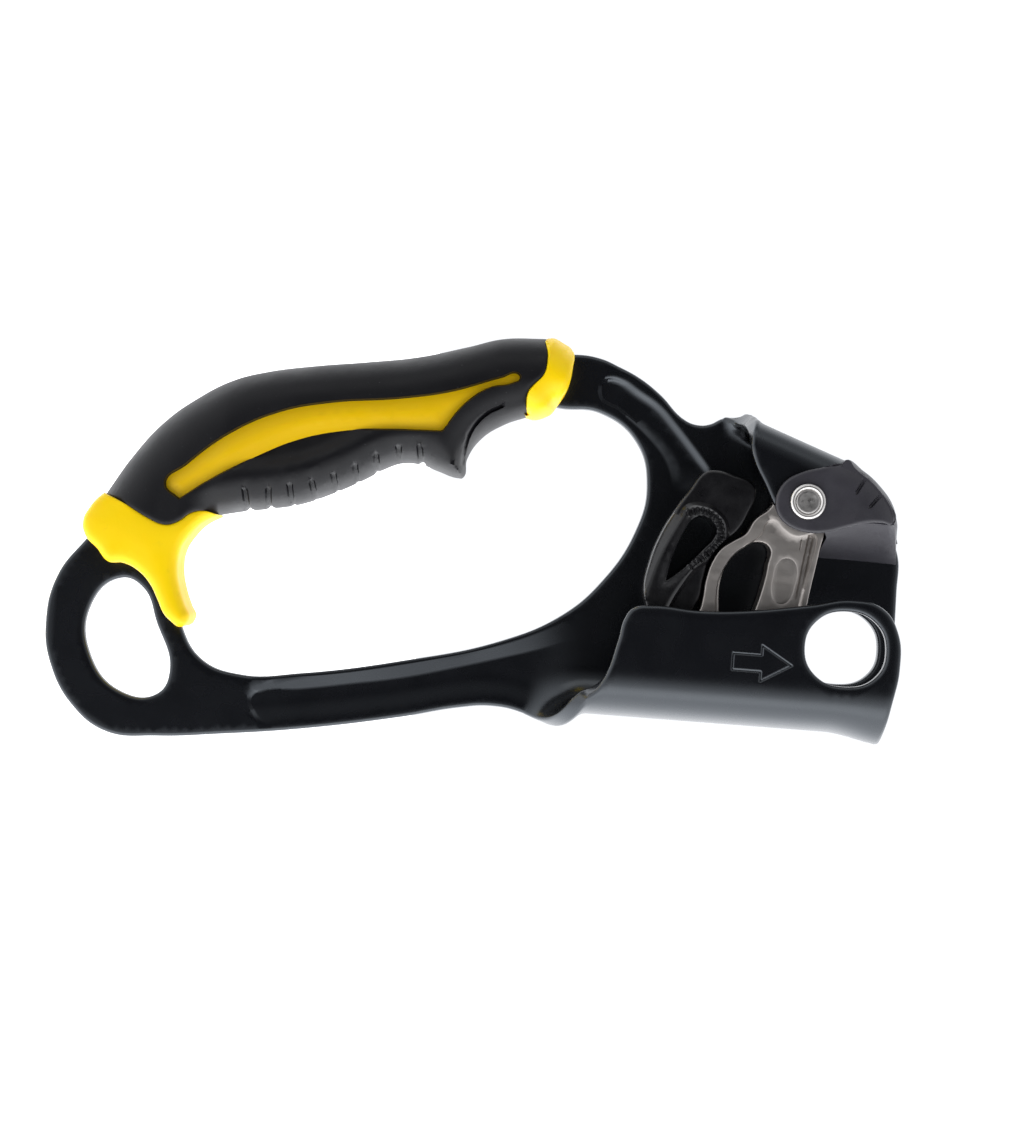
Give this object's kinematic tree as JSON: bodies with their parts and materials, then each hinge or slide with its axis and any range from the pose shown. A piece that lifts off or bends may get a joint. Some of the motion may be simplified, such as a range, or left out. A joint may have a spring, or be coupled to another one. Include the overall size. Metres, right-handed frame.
{
  "type": "handled rope ascender",
  "caption": "Handled rope clamp: folded dark plate with a rope channel, toothed cam, thumb trigger, rubber and yellow grip, and carabiner holes at both ends.",
  "frame": {"origin": "on the rope's line, level with the cam's axle", "axes": "+Z is the climbing direction along the rope, -Y is the front, the hand grip is on the -X side"},
  "size_m": [0.095, 0.0355, 0.1879],
  "materials": {
    "anodised_black": "satin",
    "yellow_plastic": "satin",
    "grey_rubber": "matte",
    "black_plastic": "satin",
    "rivet_steel": "gloss",
    "cast_steel": "satin",
    "spring_steel": "satin"
  },
  "bodies": {
    "body": {"frame": "anodised_black", "grip_core_front": "yellow_plastic", "grip_core_rear": "yellow_plastic", "grip_rubber": "grey_rubber", "top_cap": "black_plastic", "cam_axle": "rivet_steel", "axle_tail_ring": "rivet_steel", "cam_spring": "spring_steel"},
    "cam": {"cam": "cast_steel", "trigger_pin": "rivet_steel", "trigger_spring": "spring_steel"},
    "trigger": {"safety_trigger": "black_plastic"}
  },
  "joints": [
    {"name": "cam_hinge", "type": "hinge", "parent": "body", "child": "cam", "pos_m": [-0.0397, 0, 0], "axis": [0, 1, 0], "range_deg": [0, 42], "stiffness_Nm_per_rad": 0.05, "springref_deg": -34.38},
    {"name": "trigger_hinge", "type": "hinge", "parent": "cam", "child": "trigger", "pos_m": [-0.0085, 0, -0.025], "axis": [0, 1, 0], "range_deg": [-30, 0], "stiffness_Nm_per_rad": 0.01, "springref_deg": 17.19}
  ],
  "couplings": [
    {"joint": "trigger_hinge", "follows": "cam_hinge", "ratio": -0.7}
  ]
}
